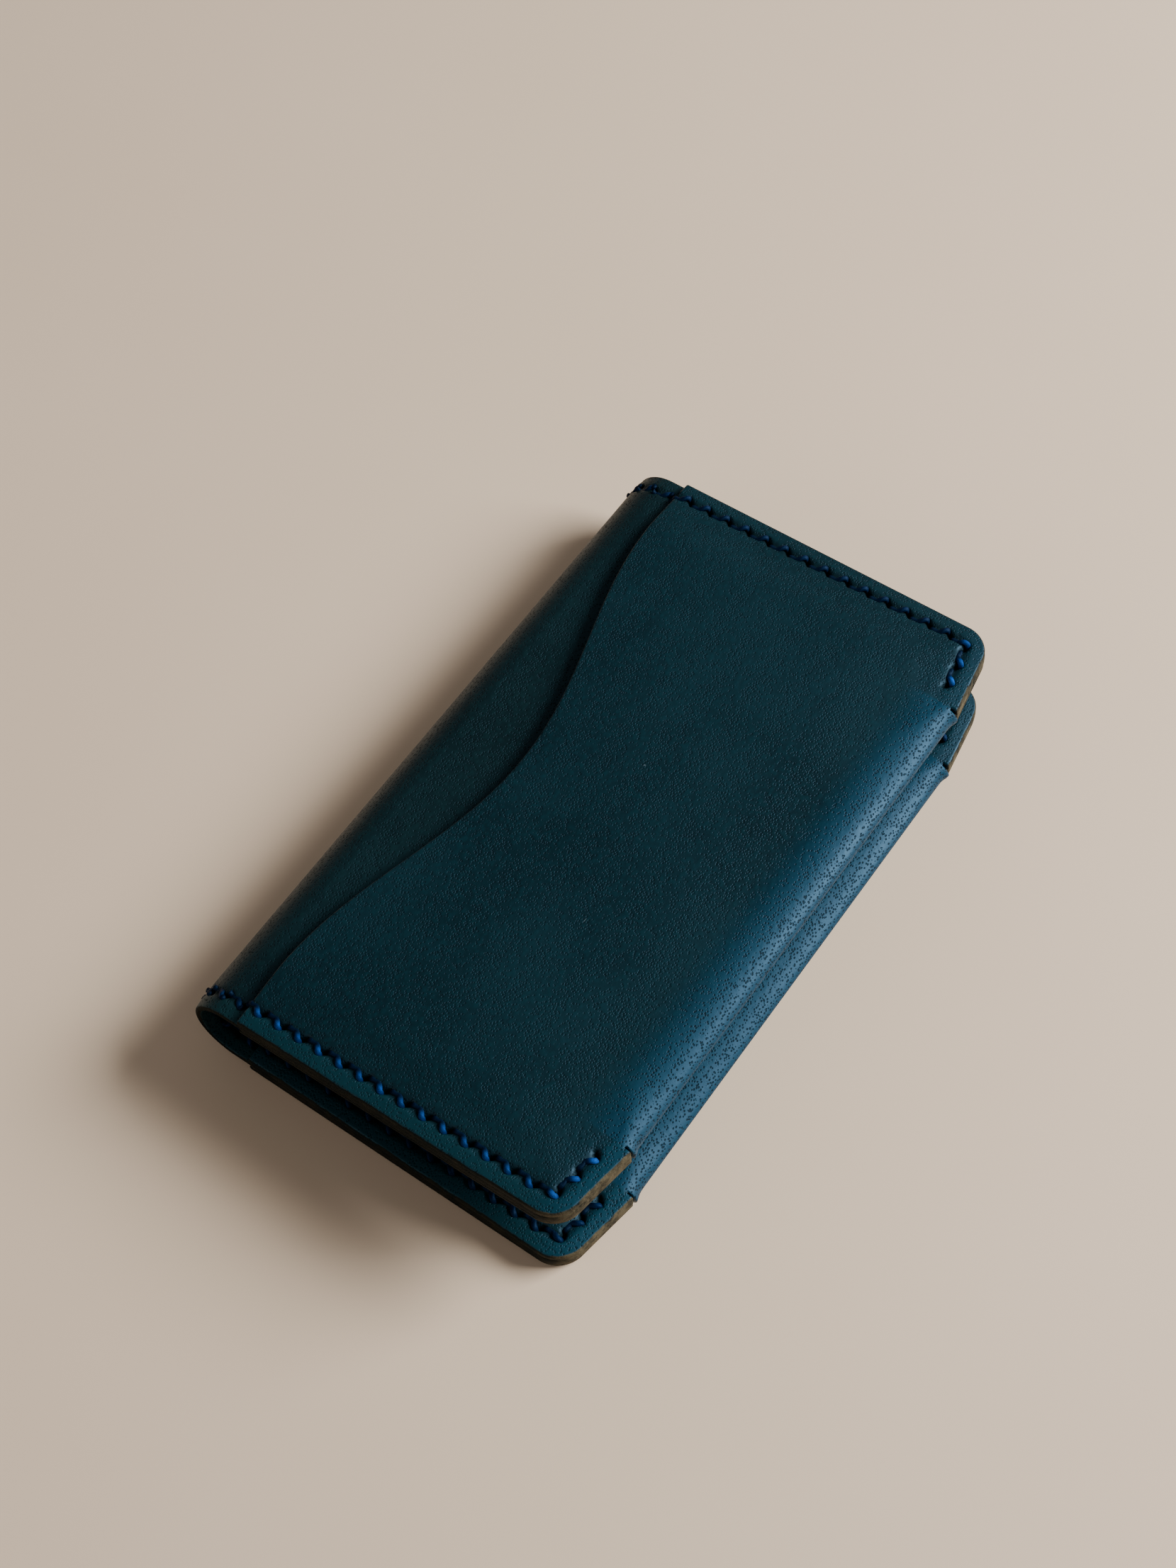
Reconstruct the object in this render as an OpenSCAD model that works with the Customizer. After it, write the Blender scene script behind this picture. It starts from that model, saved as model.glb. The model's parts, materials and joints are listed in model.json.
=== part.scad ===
// Stitched leather card wallet that folds once, lying closed on its back cover.
// X runs from the spine (-X) to the opening edge (+X), Y along the spine, Z up.
// The origin is the middle of the footprint on the surface that the wallet lies on.

/* [Wallet] */
// Length along the spine
wallet_length = 106.4; // [98:0.2:116]
// Width from the spine to the opening edge
wallet_width = 62.6; // [58:0.2:72]
// Thickness of one layer of leather
leather = 1.4; // [1.2:0.1:1.6]
// Outer radius of the shell where it turns round the spine
spine_radius = 6.2; // [5.8:0.1:7]
// Angle that the front cover stands open, in degrees
rest_opening = 3.6; // [0:0.1:8]

/* [Pockets] */
// Distance from the spine to the ends of a pocket mouth
mouth_end_inset = 8.8; // [8.6:0.1:9.6]
// How much further the middle of the mouth is cut back
mouth_depth = 8; // [4:0.5:14]
// Length of the curved stretch of the mouth
mouth_span = 88; // [60:1:94]
// Distance from the short edges to the notches that end the turned fold
notch_inset = 13.2; // [12:0.1:16]
// Width of each notch
notch_gap = 0.4; // [0.3:0.1:1]
// Corner radius of the ears
ear_radius = 4.5; // [4:0.1:6]
// Slant of the ear flanks against the spine, in degrees
ear_flare = 9; // [0:1:10]

/* [Stitching] */
// Distance from one stitch hole to the next
stitch_pitch = 3.38; // [3:0.01:3.8]
// Distance from the edge to the line of holes
stitch_margin = 2.8; // [2.4:0.1:3.2]
// Width of the thread
thread_width = 0.9; // [0.6:0.1:1]
// Depth of the groove that the thread lies in
thread_depth = 0.4; // [0.3:0.05:0.45]

/* [Hidden] */

$fn = 96;
leather_colour = "#17384a";
pocket_colour = "#1d4355";
thread_colour = "#2b6cc4";

// The spine bends at evenly spaced hinge lines, and each owns one equal share of the turn.
hinge_count = 6;
hinge_step = (180 - rest_opening) / hinge_count;
// Half of the space left between two spine strips, and the thread's clearance in the leather.
half_gap = 0.1;
clearance = 0.05;
// Leather left between a spine stitch and the end of its strip.
end_wall = 0.25;
// Angle of one flat facet of the spine curve, and the steps of the other curves.
facet_angle = 5;
arc_steps = 9;
mouth_steps = 32;

half_length = wallet_length / 2;
half_width = wallet_width / 2;
stack = 3 * leather;
spine_x = spine_radius - half_width;
spine_z = spine_radius + leather;
shell_inside = spine_radius - leather;
mouth_end_x = mouth_end_inset - half_width;
fold_x = half_width - stack / 2;
notch_y = notch_inset - half_length;
seam_y = stitch_margin - half_length;

// Centre of the near ear's corner, placed so that its flank meets the fold line at the notch.
ear_x = half_width - (ear_radius + sin(ear_flare) * (notch_inset - ear_radius)) / cos(ear_flare);
ear_y = ear_radius - half_length;
seam_radius = ear_radius - stitch_margin;

// The seam starts half a spine stitch past the end of the spine curve and runs to the near ear.
seam_start_x = spine_x + spine_radius * hinge_step * PI / 360;
seam_straight = ear_x - seam_start_x;
seam_turn = seam_radius * (90 - ear_flare) * PI / 180;
seam_flank = (notch_inset - ear_radius - stitch_pitch / 3) / cos(ear_flare);
stitch_count = floor((seam_straight + seam_turn + seam_flank) / stitch_pitch);

function degrees_at(distance, radius) = distance / radius * 180 / PI;

// Point of the near seam at a distance along it: straight, round the corner, then up the flank.
function seam_point(s) =
    s < seam_straight ? [seam_start_x + s, seam_y]
    : s < seam_straight + seam_turn
    ? let (a = degrees_at(s - seam_straight, seam_radius) - 90)
        [ear_x + seam_radius * cos(a), ear_y + seam_radius * sin(a)]
    : let (rest = s - seam_straight - seam_turn)
        [ear_x + seam_radius * cos(ear_flare) + rest * sin(ear_flare),
         ear_y - seam_radius * sin(ear_flare) + rest * cos(ear_flare)];

function flip_y(points) = [for (i = [len(points) - 1 : -1 : 0]) [points[i].x, -points[i].y]];

// Free edge of the near ear, from the short edge to the notch and in to the fold line.
near_ear = concat(
    [for (i = [0 : arc_steps])
        let (a = -90 + (90 - ear_flare) * i / arc_steps)
        [ear_x + ear_radius * cos(a), ear_y + ear_radius * sin(a)]],
    [[half_width, notch_y], [fold_x, notch_y]]);
opening_edge = concat(near_ear, flip_y(near_ear));

// A pocket mouth is straight at both ends and swells in one smooth wave between them.
mouth_edge = concat(
    [[mouth_end_x, half_length]],
    [for (i = [0 : mouth_steps])
        let (v = 1 - 2 * i / mouth_steps)
        [mouth_end_x + mouth_depth * (1 + cos(180 * v)) / 2, v * mouth_span / 2]],
    [[mouth_end_x, -half_length]]);

// Sector of a ring round the spine axis, as flat facets. Angle 0 points down, 90 to -X and 180 up.
module spine_profile(inner, outer, from, to) {
    steps = ceil((to - from) / facet_angle);
    turns = [for (i = [0 : steps]) from + (to - from) * i / steps];
    polygon(concat(
        [for (a = turns) outer * [-sin(a), -cos(a)]],
        [for (i = [steps : -1 : 0]) inner * [-sin(turns[i]), -cos(turns[i])]]));
}

// Extrudes a profile of the spine from y0 to y1.
module along_spine(y0, y1) {
    translate([spine_x, y1, spine_z])
        rotate([90, 0, 0])
            linear_extrude(y1 - y0)
                children();
}

// Places a part of the back cover as the matching part of the front cover.
module on_front() {
    translate([spine_x, 0, spine_z])
        rotate([0, -rest_opening, 0])
            mirror([0, 0, 1])
                translate([-spine_x, 0, -spine_z])
                    children();
}

module plate(outline, layer) {
    translate([0, 0, layer * leather])
        linear_extrude(leather)
            polygon(outline);
}

// A cover is alike on both sides of its middle plane. This turns the outer side into the inner.
module inner_side() {
    translate([0, 0, stack])
        mirror([0, 0, 1])
            children();
}

module thread_bar(a, b, z, grow) {
    width = thread_width + 2 * grow;
    run = b - a;
    translate([a.x, a.y, z - grow])
        rotate([0, 0, atan2(run.y, run.x)])
            translate([-width / 2, -width / 2, 0])
                cube([norm(run) + width, width, thread_depth + 2 * grow]);
}

module thread_post(p, z0, z1, grow) {
    width = thread_width + 2 * grow;
    translate([p.x - width / 2, p.y - width / 2, z0 - grow])
        cube([width, width, z1 - z0 + 2 * grow]);
}

// One face of the near seam on the cover: over the shell, up the mouth's end and along the lobe.
module seam_face(grow) {
    first = seam_point(0);
    width = thread_width + 2 * grow;
    riser_x = mouth_end_x - thread_depth - grow;
    thread_bar([spine_x + width / 2, seam_y], first, leather, grow);
    thread_bar(first, [riser_x - width / 2 + grow, seam_y], leather, grow);
    translate([riser_x, seam_y - width / 2, -grow])
        cube([thread_depth + 2 * grow, width, leather + thread_depth + 2 * grow]);
    thread_bar([riser_x + width / 2, seam_y], seam_point(stitch_pitch), 0, grow);
    for (i = [1 : stitch_count - 1])
        thread_bar(seam_point(i * stitch_pitch), seam_point((i + 1) * stitch_pitch), 0, grow);
}

// The last stitch on the cover's share of the spine curve, open towards the flat cover.
module seam_hook(grow) {
    width = thread_width + 2 * grow;
    post = degrees_at(width, spine_radius);
    end = hinge_step / 2 - degrees_at(half_gap + end_wall - grow, spine_radius);
    along_spine(seam_y - width / 2, seam_y + width / 2)
        difference() {
            spine_profile(shell_inside - grow, spine_radius + grow, 0, end);
            spine_profile(shell_inside + thread_depth + grow,
                spine_radius - thread_depth - grow, -post, end - post);
        }
}

// The near seam of a cover: both faces, the hook and the thread in every hole.
module seam_thread(grow) {
    seam_face(grow);
    inner_side() seam_face(grow);
    seam_hook(grow);
    thread_post(seam_point(0), leather, 2 * leather, grow);
    for (i = [1 : stitch_count])
        thread_post(seam_point(i * stitch_pitch), 0, stack, grow);
}

module both_seams(grow) {
    seam_thread(grow);
    mirror([0, 1, 0])
        seam_thread(grow);
}

// Half of the shell: a flat cover with its share of the spine curve.
module shell_cover() {
    sides = concat([[spine_x, half_length], [spine_x, -half_length]], opening_edge);
    difference() {
        union() {
            plate(sides, 1);
            along_spine(-half_length, half_length)
                spine_profile(shell_inside, spine_radius,
                    0, hinge_step / 2 - degrees_at(half_gap, spine_radius));
        }
        both_seams(clearance);
    }
}

// A pocket is one piece of leather: an outer lobe, a turned fold between the notches and an
// inner lobe that is the outer one over again.
module pocket_lobe() {
    difference() {
        plate(concat(mouth_edge, opening_edge), 0);
        both_seams(clearance);
    }
}

module pocket_fold() {
    fold_end = -notch_y - notch_gap;
    translate([fold_x, 0, stack / 2])
        rotate([-90, 0, 0])
            rotate([0, 0, -90])
                rotate_extrude(angle = 180)
                    translate([leather / 2, -fold_end])
                        square([leather, 2 * fold_end]);
}

function strip_start(k) = (k - 0.5) * hinge_step + degrees_at(half_gap, spine_radius);
function strip_end(k) = (k + 0.5) * hinge_step - degrees_at(half_gap, spine_radius);

module spine_strip(k) {
    difference() {
        along_spine(-half_length, half_length)
            spine_profile(shell_inside, spine_radius, strip_start(k), strip_end(k));
        spine_stitch(k, clearance);
    }
}

// One stitch over a spine strip at each short edge: a closed loop through the leather.
module spine_stitch(k, grow) {
    width = thread_width + 2 * grow;
    wall = degrees_at(end_wall - grow, spine_radius);
    from = strip_start(k) + wall;
    to = strip_end(k) - wall;
    post = degrees_at(width, spine_radius);
    for (y = [seam_y, -seam_y])
        along_spine(y - width / 2, y + width / 2)
            difference() {
                spine_profile(shell_inside - grow, spine_radius + grow, from, to);
                spine_profile(shell_inside + thread_depth + grow,
                    spine_radius - thread_depth - grow, from + post, to - post);
            }
}

module shell_back_cover() color(leather_colour) shell_cover();
module shell_front_cover() color(leather_colour) on_front() shell_cover();
module back_pocket_outer() color(pocket_colour) pocket_lobe();
module back_pocket_fold() color(pocket_colour) pocket_fold();
module back_pocket_inner() color(pocket_colour) inner_side() pocket_lobe();
module front_pocket_outer() color(pocket_colour) on_front() pocket_lobe();
module front_pocket_fold() color(pocket_colour) on_front() pocket_fold();
module front_pocket_inner() color(pocket_colour) on_front() inner_side() pocket_lobe();
module back_seam_near() color(thread_colour) seam_thread(0);
module back_seam_far() color(thread_colour) mirror([0, 1, 0]) seam_thread(0);
module front_seam_near() color(thread_colour) on_front() seam_thread(0);
module front_seam_far() color(thread_colour) on_front() mirror([0, 1, 0]) seam_thread(0);
module strip_part(k) color(leather_colour) spine_strip(k);
module stitch_part(k) color(thread_colour) spine_stitch(k, 0);

shell_back_cover();
shell_front_cover();
back_pocket_outer();
back_pocket_fold();
back_pocket_inner();
front_pocket_outer();
front_pocket_fold();
front_pocket_inner();
strip_part(1);  // spine_strip_1
strip_part(2);  // spine_strip_2
strip_part(3);  // spine_strip_3
strip_part(4);  // spine_strip_4
strip_part(5);  // spine_strip_5
back_seam_near();
back_seam_far();
front_seam_near();
front_seam_far();
stitch_part(1);  // spine_stitch_1
stitch_part(2);  // spine_stitch_2
stitch_part(3);  // spine_stitch_3
stitch_part(4);  // spine_stitch_4
stitch_part(5);  // spine_stitch_5
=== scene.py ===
"""Looks of a stitched leather card wallet, built round its CAD frame.

Lengths are in millimetres until a mesh is written, which scales them to metres. A cover is built as
the back cover: outer face down at z = 0, three layers of leather, spine at -X. The front cover is
the same cover mirrored and turned about the spine.
"""
import json
import math

import bmesh
import bpy
import numpy as np
from mathutils import Matrix, Vector


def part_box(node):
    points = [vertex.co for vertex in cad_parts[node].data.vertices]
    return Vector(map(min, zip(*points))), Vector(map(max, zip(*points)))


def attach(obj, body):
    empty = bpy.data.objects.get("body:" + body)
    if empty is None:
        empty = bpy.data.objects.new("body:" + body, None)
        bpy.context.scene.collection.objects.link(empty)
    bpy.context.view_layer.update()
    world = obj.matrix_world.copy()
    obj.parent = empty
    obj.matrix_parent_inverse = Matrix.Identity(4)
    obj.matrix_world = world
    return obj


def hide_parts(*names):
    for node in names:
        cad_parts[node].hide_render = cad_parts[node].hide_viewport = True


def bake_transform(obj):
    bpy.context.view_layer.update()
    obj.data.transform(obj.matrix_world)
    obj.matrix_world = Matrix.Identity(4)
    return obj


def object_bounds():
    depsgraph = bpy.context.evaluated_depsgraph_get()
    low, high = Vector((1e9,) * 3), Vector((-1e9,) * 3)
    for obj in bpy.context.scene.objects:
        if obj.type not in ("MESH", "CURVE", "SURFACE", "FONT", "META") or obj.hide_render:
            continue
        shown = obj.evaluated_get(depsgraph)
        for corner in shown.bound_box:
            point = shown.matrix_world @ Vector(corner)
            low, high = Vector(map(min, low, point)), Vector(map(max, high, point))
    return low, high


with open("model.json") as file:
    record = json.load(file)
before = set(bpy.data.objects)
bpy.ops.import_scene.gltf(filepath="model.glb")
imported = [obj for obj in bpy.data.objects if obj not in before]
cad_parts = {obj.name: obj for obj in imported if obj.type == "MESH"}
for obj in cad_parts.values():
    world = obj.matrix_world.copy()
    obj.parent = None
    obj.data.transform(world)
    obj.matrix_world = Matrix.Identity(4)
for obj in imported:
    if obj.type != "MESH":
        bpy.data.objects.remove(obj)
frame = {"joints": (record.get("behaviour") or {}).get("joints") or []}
cad_low, cad_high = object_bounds()

# ---------------------------------------------------------------- sizes of the wallet, in mm
MM = 0.001
HALF_WIDTH = cad_high.x / MM
HALF_LENGTH = cad_high.y / MM
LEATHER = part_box("shell_back_cover")[0].z / MM
STACK = 3 * LEATHER
SPINE_RADIUS = 6.2
REST_OPENING = 3.6
HINGES = len(frame["joints"])
STEP = math.radians(180 - REST_OPENING) / HINGES
SPINE_X = SPINE_RADIUS - HALF_WIDTH
SPINE_Z = SPINE_RADIUS + LEATHER

MOUTH_INSET = 8.8
MOUTH_END_X = MOUTH_INSET - HALF_WIDTH
MOUTH_DEPTH = 8.0
MOUTH_SPAN = 88.0
NOTCH_INSET = 13.2
NOTCH_GAP = 0.4
EAR_RADIUS = 4.5
EAR_FLARE = math.radians(9)

PITCH = 3.38
SPINE_PITCH = SPINE_RADIUS * STEP
MARGIN = 2.8
THREAD_RADIUS = 0.35
THREAD_SINK = 0.16
# On the face that the wallet lies on, the thread is sunk until it stays clear of the floor.
BACK_SINK = THREAD_RADIUS + 0.12
# How strongly a stitch's high bend is painted with a highlight. It starts to rise EAR_STITCHES
# before the end of a seam, and is 1 after EAR_FADE of them.
EAR_STITCHES = 4
EAR_FADE = 2
# Painted highlight on the stitches of the near seam and, weakly, of the far seam; hidden stitches
# inside the wallet and over the spine are dimmed as painted shade.
NEAR_THREAD = 0.42
FAR_THREAD = 0.05
HIDDEN_THREAD = 0.10

EAR_X = HALF_WIDTH - (
    EAR_RADIUS + math.sin(EAR_FLARE) * (NOTCH_INSET - EAR_RADIUS)
) / math.cos(EAR_FLARE)
SEAM_RADIUS = EAR_RADIUS - MARGIN
SEAM_START_U = SPINE_PITCH / 2
SEAM_START_X = SPINE_X + SEAM_START_U
SEAM_STRAIGHT = EAR_X - SEAM_START_X
SEAM_TURN = SEAM_RADIUS * (math.pi / 2 - EAR_FLARE)
SEAM_FLANK = (NOTCH_INSET - EAR_RADIUS - PITCH / 3) / math.cos(EAR_FLARE)
STITCHES = int((SEAM_STRAIGHT + SEAM_TURN + SEAM_FLANK) / PITCH)

# Cut edges, the border outside a seam, the thread's groove and the stitch holes.
EDGE_ROUND = 0.42
MOUTH_ROUND = 0.3
HIDDEN_ROUND = 0.1
CUT_BULGE = 0.08
# Where the rings of points round a cut edge lie, from its outer face to its inner face.
CUT_RINGS = (0.3, 0.7)
BORDER_DROP = 0.42
GROOVE_DEPTH = 0.26
GROOVE_WIDTH = 0.62
GROOVE_PAST_END = 1.2
GROOVE_FADE = 1.6
PRESSED_DEPTH = 0.12
PRESSED_REACH = 2.2
SLIT_DEPTH = 0.8
SLIT_WIDTH = 0.3
SLIT_HALF_LENGTH = 0.85

# The fold that each pocket is turned over at the opening edge.
EAR_ROOT_X = EAR_X - 4
FOLD_REACH = 6.5
FOLD_REACH_AT_NOTCH = 2.6
FOLD_RAMP = 10.0
FOLD_FULLNESS = 1.14
# The leather thins to this share of the half fold, from so many columns before the turn.
FOLD_THINNING = 0.62
SKIVED_COLUMNS = 6
LEAST_INNER_TURN = 0.1
# How many columns of the turn stay joined to the ear beside a notch.
NOTCH_ROOT = 6
NUB = 0.4
NUB_REACH = 0.9

# The shell, which is bare round the spine and runs on under the pockets. Its fine columns end so
# far past the mouths, and the shell itself so far short of the folds.
BARE_FADE = 0.6
SHELL_BORDER = 0.5
SHELL_SLIT = 0.7
FINE_PAST_MOUTH = 2
SHORT_OF_FOLD = 2
HIDDEN_COLUMNS = 8
# How far from a cut edge the shell's last columns lie, as shares of the ear.
SHELL_TIP = np.array([9, 6, 4, 2.5, 1.5, 0.8, 0.4, 0.2, 0.08, 0.02, 0]) / 12

# How a lobe swells inside its seams, and is let go of beside the fold.
PILLOW_RAMP = 7.0
PILLOW_GAP = 0.4
PILLOW_AT_FOLD = 0.3
FOLD_EASE = 18
FOLD_FREEDOM = 14
FREEDOM_START = 4
FRONT_PILLOW = 0.55
INNER_PILLOW = 0.2
WAVE = 0.05
WAVE_RAMP = 6

# How far in from an edge each look reaches, and how strong it is, where over 1 counts as 1.
CUT_REACH = 0.45
SHELL_CUT_REACH = 0.4
MOUTH_CUT = 0.3
BORDER_OVERLAP = 0.5
BORDER_FADE = 0.6
# The fold's pull-up blue and painted highlight: how far from the opening edge they reach, and how
# strong they are on ears, borders and shell.
RUBBED_AND_HIGHLIGHT_REACH = 9.0
RUBBED_AND_HIGHLIGHT_EAR = 0.2
RUBBED_AND_HIGHLIGHT_BORDER = 0.3
RUBBED_AND_HIGHLIGHT_SHELL = 0.5
# The groove and holes are darkened: leather pressed by the thread, and painted shade in these
# hollows.
GROOVE_DARK = 0.6
SLIT_DARK = 2.2
# The painted reflection on the border outside the far seam is weaker than on the near one, where 1
# is as light.
FAR_BORDER_REFLECTION = 0.2

# Grid spacing along the seams and over the plain middle of a cover.
FINE = 0.25
COARSE = 2.4
BORDER_GRID = 0.26
SEAM_GRID = 0.15
SPINE_GRID = 0.16
ROOT_COLUMNS = 21
TIP_COLUMNS = 16
# Points of a mesh that are closer than this, in metres, are one point.
WELD = 1e-7
# The least length, in mm, that a direction is worked out from.
TINY = 1e-9


def smooth(t):
    t = np.clip(t, 0.0, 1.0)
    return t * t * (3 - 2 * t)


# ---------------------------------------------------------------- outlines and the seam line
def ear_edge_x(inset):
    """X of the ear's free edge at a distance from the short edge."""
    inset = np.asarray(inset, float)
    arc_end = EAR_RADIUS * (1 - math.sin(EAR_FLARE))
    on_arc = EAR_X + np.sqrt(np.clip(EAR_RADIUS**2 - (EAR_RADIUS - inset) ** 2, 0, None))
    on_flank = EAR_X + EAR_RADIUS * math.cos(EAR_FLARE) + (inset - arc_end) * math.tan(EAR_FLARE)
    return np.where(inset < arc_end, on_arc, on_flank)


def mouth_x(y):
    """X of a pocket mouth: straight at both ends, one smooth wave between them."""
    wave = (1 + np.cos(np.pi * np.clip(2 * y / MOUTH_SPAN, -1, 1))) / 2
    return MOUTH_END_X + MOUTH_DEPTH * wave


def edge_and_seam(x, y):
    """Distance in from the short edge and the ear's outline, and distance along the seam."""
    inset = HALF_LENGTH - np.abs(y)
    dx, dv = x - EAR_X, inset - EAR_RADIUS
    angle = np.arctan2(dv, dx)
    radius = np.hypot(dx, dv)
    flank_edge = EAR_RADIUS - dx * math.cos(EAR_FLARE) + dv * math.sin(EAR_FLARE)
    along = dx * math.sin(EAR_FLARE) + dv * math.cos(EAR_FLARE)
    in_turn = (dx > 0) & (angle < -EAR_FLARE)
    in_flank = ~in_turn & (flank_edge < inset)
    edge = np.where(in_turn, EAR_RADIUS - radius, np.where(in_flank, flank_edge, inset))
    turned = SEAM_STRAIGHT + (angle + math.pi / 2) * SEAM_RADIUS
    flank = SEAM_STRAIGHT + SEAM_TURN + along
    seam = np.where(in_turn, turned, np.where(in_flank, flank, x - SEAM_START_X))
    return edge, seam


def seam_xy(s, d):
    """Point beside the near seam: s along it, d in from it towards the middle of the cover."""
    s, d = np.broadcast_arrays(np.asarray(s, float), np.asarray(d, float))
    turn = np.clip((s - SEAM_STRAIGHT) / SEAM_RADIUS, 0, math.pi / 2 - EAR_FLARE) - math.pi / 2
    rest = np.clip(s - SEAM_STRAIGHT - SEAM_TURN, 0, None)
    radius = SEAM_RADIUS - d
    x = EAR_X + radius * np.cos(turn) + rest * math.sin(EAR_FLARE)
    y = EAR_RADIUS - HALF_LENGTH + radius * np.sin(turn) + rest * math.cos(EAR_FLARE)
    straight = s < SEAM_STRAIGHT
    return (
        np.where(straight, SEAM_START_X + s, x),
        np.where(straight, MARGIN - HALF_LENGTH + d, y),
    )


# ---------------------------------------------------------------- placing
def on_front(points):
    """A point of the back cover as the matching point of the front cover."""
    turn = math.radians(REST_OPENING)
    x, z = points[..., 0] - SPINE_X, SPINE_Z - points[..., 2]
    moved = np.array(points, float)
    moved[..., 0] = SPINE_X + x * math.cos(turn) - z * math.sin(turn)
    moved[..., 2] = SPINE_Z + x * math.sin(turn) + z * math.cos(turn)
    return moved


def on_back(points):
    return np.array(points, float)


def shell_point(u, y, proud):
    """Point of the shell: u along its outer face from the start of the flat cover, negative round
    the spine, and proud of that face by so much."""
    u, y, proud = np.broadcast_arrays(*(np.asarray(a, float) for a in (u, y, proud)))
    angle = -u / SPINE_RADIUS
    radius = SPINE_RADIUS + proud
    x = np.where(u < 0, SPINE_X - radius * np.sin(angle), SPINE_X + u)
    z = np.where(u < 0, SPINE_Z - radius * np.cos(angle), LEATHER - proud)
    return np.stack([x, y, z], -1)


# ---------------------------------------------------------------- relief of the worked leather
def rounding(distance, radius):
    """How far a rounded edge falls away at a distance in from it."""
    reach = np.clip(radius - distance, 0, radius)
    return radius - np.sqrt(np.clip(radius**2 - reach**2, 0, None))


def slit(ds, d):
    """Depth of one slanted stitch hole at an offset from its middle."""
    along = (ds + d) * math.sqrt(0.5)
    across = (d - ds) * math.sqrt(0.5)
    return np.exp(-((across / SLIT_WIDTH) ** 2) - (along / SLIT_HALF_LENGTH) ** 4)


def groove(d):
    return np.exp(-((d / GROOVE_WIDTH) ** 2))


def seam_marks(edge, s):
    """How far a place lies in the groove and in a stitch hole, each from 0 to 1."""
    d = edge - MARGIN
    last = STITCHES * PITCH
    nearest = np.clip(np.round(s / PITCH), 1, STITCHES) * PITCH
    in_groove = smooth((last + GROOVE_PAST_END - s) / GROOVE_FADE) * groove(d)
    return in_groove, slit(s - nearest, d)


def darkened(in_groove, in_slit):
    """How far the leather is darkened in the groove and the stitch holes: pressed by the thread or
    pierced, and painted shade in these hollows.
    """
    return np.maximum(GROOVE_DARK * in_groove, np.minimum(SLIT_DARK * in_slit, 1))


def seam_relief(edge, s):
    """Depth of the border, groove and stitch holes."""
    in_groove, in_slit = seam_marks(edge, s)
    border = BORDER_DROP * (1 - smooth(edge / MARGIN))
    pressed = PRESSED_DEPTH * (1 - smooth(np.abs(edge - MARGIN) / PRESSED_REACH))
    return border + pressed + GROOVE_DEPTH * in_groove + SLIT_DEPTH * in_slit


def pillow(x, y, height):
    """How far a lobe stands up inside its seams, falling away again towards its fold."""
    edge, _ = edge_and_seam(x, y)
    inset = HALF_LENGTH - np.abs(y)
    let_go = FOLD_FREEDOM * smooth((inset - NOTCH_INSET + FREEDOM_START) / FOLD_EASE)
    free = np.minimum(inset, edge + let_go)
    lean = PILLOW_AT_FOLD + (1 - PILLOW_AT_FOLD) * smooth((HALF_WIDTH - x) / FOLD_EASE)
    return height * lean * smooth((free - MARGIN - PILLOW_GAP) / PILLOW_RAMP)


def slow_wave(x, y, size):
    """A faint unevenness, so that no surface is dead flat."""
    return size * (
        np.sin(x * 0.13 + y * 0.07 + 0.6) * np.cos(y * 0.09 - x * 0.04)
        + 0.5 * np.sin(y * 0.21 + 1.9) * np.sin(x * 0.17 + 0.4)
    )


# ---------------------------------------------------------------- meshes
def make_object(name, vertices, faces, attributes, place, creases=()):
    """A smooth-shaded object from points in mm, shaded sharply at the edges in creases."""
    points = place(np.asarray(vertices, float)) * MM
    mesh = bpy.data.meshes.new(name)
    mesh.from_pydata(points.tolist(), [], faces)
    for key, values in attributes.items():
        layer = mesh.attributes.new(key, "FLOAT", "POINT")
        layer.data.foreach_set("value", np.asarray(values, np.float32))
    work = bmesh.new()
    work.from_mesh(mesh)
    bmesh.ops.recalc_face_normals(work, faces=work.faces)
    work.verts.ensure_lookup_table()
    for a, b in creases:
        work.edges.get((work.verts[a], work.verts[b])).smooth = False
    bmesh.ops.remove_doubles(work, verts=work.verts, dist=WELD)
    work.to_mesh(mesh)
    work.free()
    mesh.polygons.foreach_set("use_smooth", [True] * len(mesh.polygons))
    made = bpy.data.objects.new(name, mesh)
    bpy.context.scene.collection.objects.link(made)
    return made


def boundary_edges(valid):
    """Edges with a cell on one side only: end points a and b, and the cell, as grid places."""
    padded = np.pad(valid, 1)
    found = []
    for across_rows in (True, False):
        if across_rows:
            before, after = padded[:-1, 1:-1], padded[1:, 1:-1]
        else:
            before, after = padded[1:-1, :-1], padded[1:-1, 1:]
        for i, j in zip(*np.nonzero(before != after)):
            shift = 0 if after[i, j] else 1
            if across_rows:
                found.append(((i, j), (i, j + 1), (i - shift, j)))
            else:
                found.append(((i, j), (i + 1, j), (i, j - shift)))
    return found


def unit(vector):
    return vector / max(np.linalg.norm(vector), TINY)


def outward(edges, face):
    """For each point on a sheet's outline, the direction in the sheet that points away from it."""
    push = {}
    for a, b, cell in edges:
        centre = face[cell[0] : cell[0] + 2, cell[1] : cell[1] + 2].mean((0, 1))
        run = unit(face[b] - face[a])
        away = (face[a] + face[b]) / 2 - centre
        away = unit(away - run * (away @ run))
        for p in (a, b):
            push[p] = push.get(p, 0) + away
    return {p: unit(away) for p, away in push.items()}


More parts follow.
